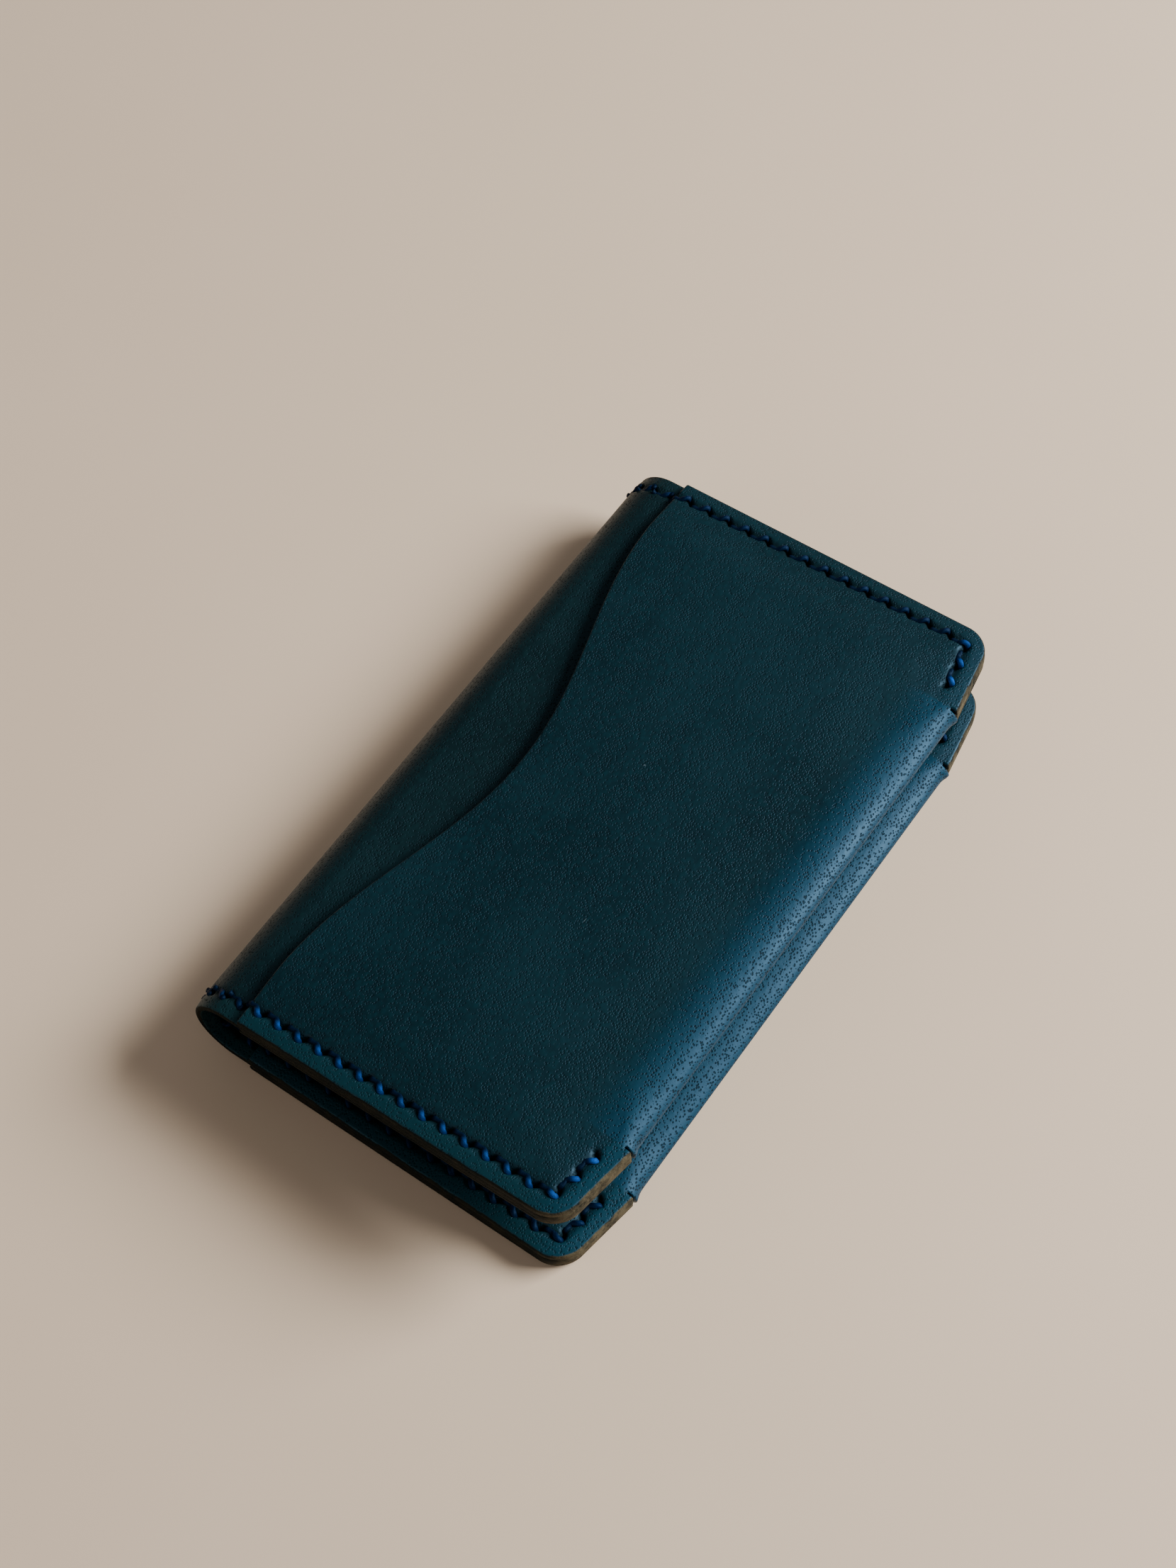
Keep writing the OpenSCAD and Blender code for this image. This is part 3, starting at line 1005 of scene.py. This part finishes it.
def dyed_colour(n, dye, deep, clouds, fibre, skin):
    """Cloudy dye between deep and dye, lighter on the fibres and on the raised cells of the skin."""
    colour = n.mix(n.ramp(clouds, 0.32, 0.7), deep, dye)
    colour = n.mix(n.ramp(fibre, 0.4, 0.75, 0.0, 0.3), colour, scaled(dye, FIBRE_LIGHT))
    return n.mix(n.ramp(skin, 0.1, 0.6, 0.35, 0.0), colour, scaled(dye, SKIN_LIGHT))


def cut_colour(n, worn, rubbed_and_highlight):
    """A burnished cut edge, black to brown, and tan where the rubbed_and_highlight map is high, near
    the opening edge: partly worn bare, partly painted light.
    """
    burnished = n.mix(n.ramp(worn, 0.3, 0.75), CUT_BLACK, CUT_BROWN)
    bare = n.math("MULTIPLY", n.ramp(rubbed_and_highlight, 0.0, 0.5), n.ramp(worn, 0.3, 0.6))
    return n.mix(bare, burnished, CUT_TAN)


def wear_marks(n, place):
    """Sparse dust specks and short hair scratches, from 0 to 1."""
    specks = n.cells(place, SPECKS_PER_M)
    chosen = n.ramp(n.channel(specks.outputs["Color"], 0), 0.72, 0.74)
    speck = n.ramp(specks.outputs["Distance"], 0.012, 0.028, 1.0, 0.0)
    hairs = n.cells(n.stretched(place, HAIR_ANGLE, HAIR_STRETCH), HAIRS_PER_M)
    seldom = n.ramp(n.channel(hairs.outputs["Color"], 1), 0.88, 0.9)
    hair = n.ramp(hairs.outputs["Distance"], 0.008, 0.022, 1.0, 0.0)
    return n.math("MAXIMUM", n.math("MULTIPLY", chosen, speck), n.math("MULTIPLY", seldom, hair))


def leather_shine(n, roughness, clouds, dull, rubbed_and_highlight):
    """A soft blue shine, uneven with the dye, that fades where the leather is dull."""
    sheen = n.ramp(clouds, 0.3, 0.7, roughness - 0.04, roughness + 0.05)
    n.put(n.shader, "Roughness", n.math("ADD", sheen, n.math("MULTIPLY", dull, DULL_ROUGHNESS)))
    matt = n.math("MAXIMUM", dull, n.math("MULTIPLY", rubbed_and_highlight, PULLED_DULLNESS))
    n.put(n.shader, "Specular IOR Level", n.ramp(matt, 0.0, 1.0, 0.45, 0.1))
    n.put(n.shader, "Specular Tint", LEATHER_SHINE)


def leather_relief(n, place, pit, skin, raw, fibre):
    """Relief of the pits, the skin's cells and finest grain, and the fibres of cut edges."""
    fine = n.noise(place, FINE_PER_M, 3.0, 0.6)
    height = n.math("ADD", n.math("MULTIPLY", pit, -1.0), n.math("MULTIPLY", fine, FINE_HEIGHT))
    height = n.math("ADD", height, n.math("MULTIPLY", skin, SKIN_HEIGHT))
    bare = n.math("MULTIPLY", n.math("MULTIPLY", raw, fibre), FIBRE_HEIGHT)
    n.bump(n.math("ADD", height, bare), *LEATHER_BUMP)


def leather_material(name, dye, deep, roughness, marked):
    """Dyed smooth leather: open pores, cloudy dye, dark stitch holes that are partly painted shade,
    a border lightened as a painted reflection, a fold lightened blue partly by pull-up and partly as
    a painted highlight, and brown burnished cut edges.
    """
    n = Nodes(name)
    place = n.place()
    raw, worked, border, rubbed_and_highlight = map(n.painted, ("raw", "worked", "border", "rubbed_and_highlight"))
    pit, skin = pores(n, place)
    clouds = n.noise(place, CLOUDS_PER_M, 5.0, 0.6)
    fibre = n.noise(place, FIBRE_PER_M, 6.0, 0.7)
    worn = n.noise(place, WORN_PER_M, 5.0, 0.7)

    colour = dyed_colour(n, dye, deep, clouds, fibre, skin)
    # The border outside the seam is lightened as a painted reflection.
    colour = n.mix(n.math("MULTIPLY", border, BORDER_REFLECTION_COVER), colour, scaled(dye, BORDER_REFLECTION_LIGHT))
    # A lighter blue on the fold: pull-up of the bent leather and a painted highlight.
    colour = n.mix(n.math("MULTIPLY", rubbed_and_highlight, PULLED_AND_HIGHLIGHT_COVER), colour, PULLED_AND_HIGHLIGHT_BLUE)
    # The pores show darker where the painted highlight lies.
    open_pit = n.math("MULTIPLY", pit, n.ramp(rubbed_and_highlight, 0.0, 0.7, 0.4, 0.8))
    colour = n.mix(open_pit, colour, scaled(deep, PIT_DARK))
    # The groove and holes are darkened: pressed leather and painted shade.
    colour = n.mix(n.math("MULTIPLY", worked, WORKED_AND_SHADE_COVER), colour, scaled(deep, HOLE_DARK))
    if marked:
        colour = n.mix(n.math("MULTIPLY", wear_marks(n, place), DUST_COVER), colour, DUST)
    ragged = n.math("ADD", raw, n.ramp(worn, 0.3, 0.7, -0.2, 0.15))
    cut = n.ramp(ragged, 0.4, 0.85, 0.0, 0.96)
    n.put(n.shader, "Base Color", n.mix(cut, colour, cut_colour(n, worn, rubbed_and_highlight)))

    pit_dull = n.math("MULTIPLY", pit, PIT_DULLNESS)
    dull = n.math("MAXIMUM", pit_dull, n.math("MAXIMUM", cut, worked))
    leather_shine(n, roughness, clouds, dull, rubbed_and_highlight)
    leather_relief(n, place, pit, skin, raw, fibre)
    return n.material


def thread_material():
    """Waxed blue thread, fibrous: painted shade where it lies deep, and a painted highlight on its
    high bend where the shade map is high.
    """
    n = Nodes("waxed_thread")
    fibre = n.noise(n.place(), THREAD_FIBRE_PER_M, 4.0, 0.7)
    rubbed_and_highlight = n.math("MULTIPLY", n.painted("shade"), n.ramp(fibre, 0.25, 0.6, 0.55, 1.0))
    n.put(n.shader, "Base Color", n.mix(rubbed_and_highlight, THREAD_SHADE, THREAD_HIGHLIGHT))
    n.put(n.shader, "Roughness", n.ramp(fibre, 0.3, 0.7, 0.65, 0.45))
    n.put(n.shader, "Specular IOR Level", THREAD_SPECULAR)
    n.put(n.shader, "Specular Tint", THREAD_SHINE)
    n.bump(fibre, *THREAD_BUMP)
    return n.material


def floor_material():
    n = Nodes("pale_floor")
    tone = n.noise(n.place(), FLOOR_TONES_PER_M, 3.0)
    n.put(n.shader, "Base Color", n.mix(tone, FLOOR_DARK, FLOOR_LIGHT))
    n.put(n.shader, "Roughness", FLOOR_ROUGHNESS)
    return n.material


# ---------------------------------------------------------------- camera, light and floor
# The camera that the wallet is seen from: its place in metres, its turns in degrees and its lens.
CAMERA_PLACE = (0.1051, -0.1544, 0.3439)
HEADING, TILT, ROLL = (math.radians(angle) for angle in (-35.17, 59.69, -0.34))
LENS = 63.5
SENSOR = 36.0
CLIP = (0.01, 10.0)
FLOOR_HALF_SIDE = 3.0
# The floor is a hair below the wallet, so that no two faces share a plane.
FLOOR_DROP = 0.0001


def add_camera():
    data = bpy.data.cameras.new("camera")
    camera = bpy.data.objects.new("camera", data)
    bpy.context.scene.collection.objects.link(camera)
    data.lens = LENS
    data.sensor_width = SENSOR
    data.clip_start, data.clip_end = CLIP
    ahead = Vector((
        math.sin(HEADING) * math.cos(TILT), math.cos(HEADING) * math.cos(TILT), -math.sin(TILT)
    ))
    right = Vector((math.cos(HEADING), -math.sin(HEADING), 0))
    up = right.cross(ahead)
    turned_right = right * math.cos(ROLL) + up * math.sin(ROLL)
    turned_up = up * math.cos(ROLL) - right * math.sin(ROLL)
    columns = (turned_right, turned_up, -ahead, CAMERA_PLACE)
    rows = [[column[i] for column in columns] for i in range(3)]
    camera.matrix_world = Matrix((*rows, (0, 0, 0, 1)))
    bpy.context.scene.camera = camera


def add_area_light(name, place, size, power, colour):
    data = bpy.data.lights.new(name, "AREA")
    data.shape = "RECTANGLE"
    data.size, data.size_y = size
    data.energy = power
    data.color = colour
    light = bpy.data.objects.new(name, data)
    light.location = place
    light.rotation_mode = "QUATERNION"
    light.rotation_quaternion = (-Vector(place)).to_track_quat("-Z", "Y")
    bpy.context.scene.collection.objects.link(light)


def add_lights():
    """A cool window on the camera's right, a weak warm fill on its left and a dim sky."""
    add_area_light(
        "window", place=(0.50, 0.47, 0.46), size=(0.46, 0.38), power=14.0, colour=(0.88, 0.94, 1.0)
    )
    add_area_light(
        "fill", place=(-0.3, -0.7, 0.35), size=(0.8, 0.4), power=1.0, colour=(1.0, 0.97, 0.93)
    )
    world = bpy.data.worlds.new("studio")
    world.use_nodes = True
    background = world.node_tree.nodes["Background"]
    background.inputs["Color"].default_value = (0.93, 0.95, 1.0, 1)
    background.inputs["Strength"].default_value = 0.14
    bpy.context.scene.world = world


def add_floor():
    mesh = bpy.data.meshes.new("floor")
    signs = ((-1, -1), (1, -1), (1, 1), (-1, 1))
    corners = [(x * FLOOR_HALF_SIDE, y * FLOOR_HALF_SIDE, -FLOOR_DROP) for x, y in signs]
    mesh.from_pydata(corners, [], [(0, 1, 2, 3)])
    floor = bpy.data.objects.new("floor", mesh)
    mesh.materials.append(floor_material())
    bpy.context.scene.collection.objects.link(floor)


def bend_across(piece):
    """Bakes a stretch of the shell's placement into its points; it is not bent here."""
    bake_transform(piece)


def add_pockets(leather):
    for side, place, outer in (("back", on_back, 0.0), ("front", on_front, FRONT_PILLOW)):
        piece = pocket(f"{side}_pocket_leather", outer, INNER_PILLOW, place)
        piece.data.materials.append(leather)
        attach(piece, f"{side}_panel")
        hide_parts(*(f"{side}_pocket_{part}" for part in ("outer", "fold", "inner")))


def add_shell(leather):
    """Each stretch of the shell spans one hinge and takes the place of the CAD parts there, which
    are hidden.
    """
    for j in range(1, HINGES + 1):
        at_cover = j in (1, HINGES)
        place = on_front if j == HINGES else on_back
        end = 0 if at_cover else -(j - 1) * SPINE_PITCH
        start = -SPINE_PITCH if at_cover else -j * SPINE_PITCH
        piece = shell_piece(f"shell_leather_{j}", start, end, place)
        piece.data.materials.append(leather)
        bend_across(piece)
        nodes = ["shell_back_cover"] if j == 1 else []
        nodes += [f"spine_strip_{j}"] if j < HINGES else ["shell_front_cover"]
        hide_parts(*nodes)


def add_threads(thread):
    for side, place, sink, lift in (
        ("back", on_back, BACK_SINK, 0.0), ("front", on_front, THREAD_SINK, FRONT_PILLOW)
    ):
        for end in ("near", "far"):
            piece = cover_thread(
                f"{side}_thread_{end}", end == "far", sink, lift, INNER_PILLOW, place
            )
            piece.data.materials.append(thread)
            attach(piece, f"{side}_panel")
            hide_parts(f"{side}_seam_{end}")
    for k in range(1, HINGES):
        piece = spine_thread(f"spine_thread_{k}", k)
        piece.data.materials.append(thread)
        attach(piece, f"spine_{k}")
        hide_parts(f"spine_stitch_{k}")


add_camera()
add_lights()
add_floor()
add_pockets(leather_material("pocket_leather", POCKET_DYE, POCKET_DEEP, POCKET_ROUGHNESS, True))
add_shell(leather_material("shell_leather", SHELL_DYE, SHELL_DEEP, SHELL_ROUGHNESS, False))
add_threads(thread_material())
